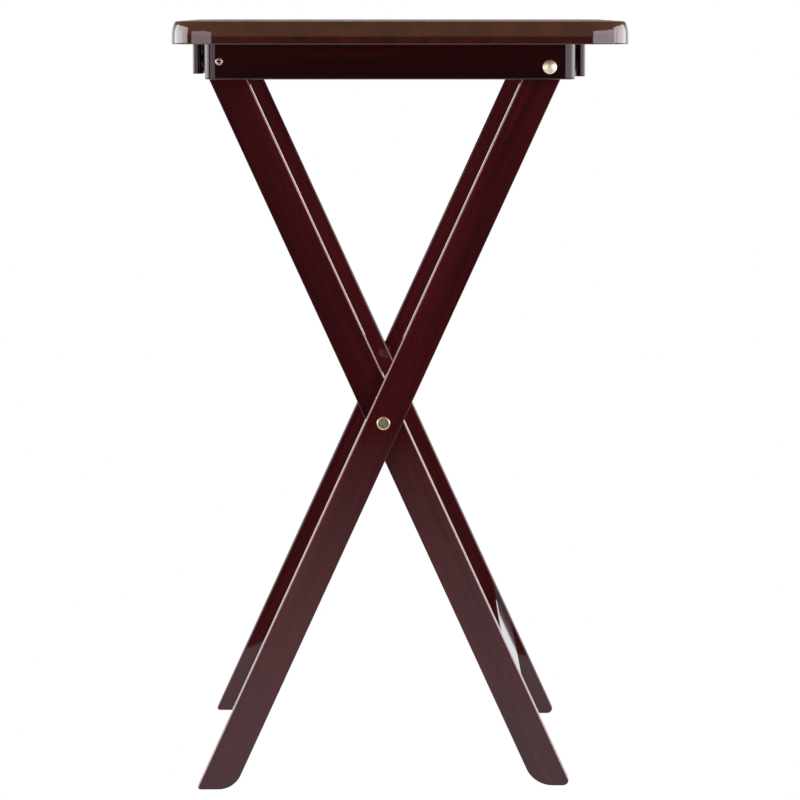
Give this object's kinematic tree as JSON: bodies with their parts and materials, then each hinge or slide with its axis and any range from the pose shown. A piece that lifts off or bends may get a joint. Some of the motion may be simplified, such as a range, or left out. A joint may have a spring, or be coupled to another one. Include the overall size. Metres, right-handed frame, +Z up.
{
  "type": "folding tray table",
  "caption": "Rectangular tray tabletop on crossed wooden legs that scissor closed on brass pivot bolts, with aprons, snap clips and a lower stretcher.",
  "frame": {"origin": "on the floor under the middle of the tabletop", "axes": "+Z up from the floor; +X across the tabletop's short side, in the plane the legs cross in, towards the apron pivots; +Y along the tabletop's long side, from the front legs to the back legs"},
  "size_m": [0.398, 0.51, 0.6808],
  "materials": {
    "tabletop_lacquer": "gloss",
    "apron_lacquer": "gloss",
    "leg_lacquer": "gloss",
    "stretcher_lacquer": "gloss",
    "bare_beech": "matte",
    "zinc_screw": "satin",
    "copper_screw": "satin",
    "steel_fitting": "satin",
    "brass_fitting": "satin",
    "brass_bushing": "satin",
    "nylon": "satin"
  },
  "bodies": {
    "outer_frame": {"front_outer_leg": "leg_lacquer", "front_crossing_bolt": "brass_fitting", "front_crossing_nut": "brass_fitting", "front_crossing_washer": "nylon", "front_pivot_bushing": "brass_bushing", "back_outer_leg": "leg_lacquer", "back_crossing_bolt": "brass_fitting", "back_crossing_nut": "brass_fitting", "back_crossing_washer": "nylon", "back_pivot_bushing": "brass_bushing"},
    "inner_frame": {"lower_stretcher": "stretcher_lacquer", "stretcher_dowels": "bare_beech", "top_dowel": "stretcher_lacquer", "front_inner_leg": "leg_lacquer", "front_crossing_bushing": "brass_bushing", "back_inner_leg": "leg_lacquer", "back_crossing_bushing": "brass_bushing"},
    "top": {"tabletop": "tabletop_lacquer", "left_rail": "apron_lacquer", "right_rail": "apron_lacquer", "rail_screws": "zinc_screw", "clip_screws": "zinc_screw", "front_apron": "apron_lacquer", "front_apron_dowels": "bare_beech", "front_corner_block": "apron_lacquer", "front_apron_screw": "copper_screw", "front_latch_clip": "nylon", "front_pivot_bolt": "brass_fitting", "front_pivot_washer": "nylon", "front_push_nut": "steel_fitting", "back_apron": "apron_lacquer", "back_apron_dowels": "bare_beech", "back_corner_block": "apron_lacquer", "back_apron_screw": "copper_screw", "back_latch_clip": "nylon", "back_pivot_bolt": "brass_fitting", "back_pivot_washer": "nylon", "back_push_nut": "steel_fitting"}
  },
  "joints": [
    {"name": "leg_hinge", "type": "hinge", "parent": "outer_frame", "child": "inner_frame", "pos_m": [-0.0147, 0, 0.3278], "axis": [0, 1, 0], "range_deg": [0, 49]},
    {"name": "top_hinge", "type": "hinge", "parent": "outer_frame", "child": "top", "pos_m": [0.1303, 0, 0.6412], "axis": [0, 1, 0], "range_deg": [0, 24.5]}
  ],
  "couplings": [
    {"joint": "top_hinge", "follows": "leg_hinge", "ratio": 0.5}
  ]
}
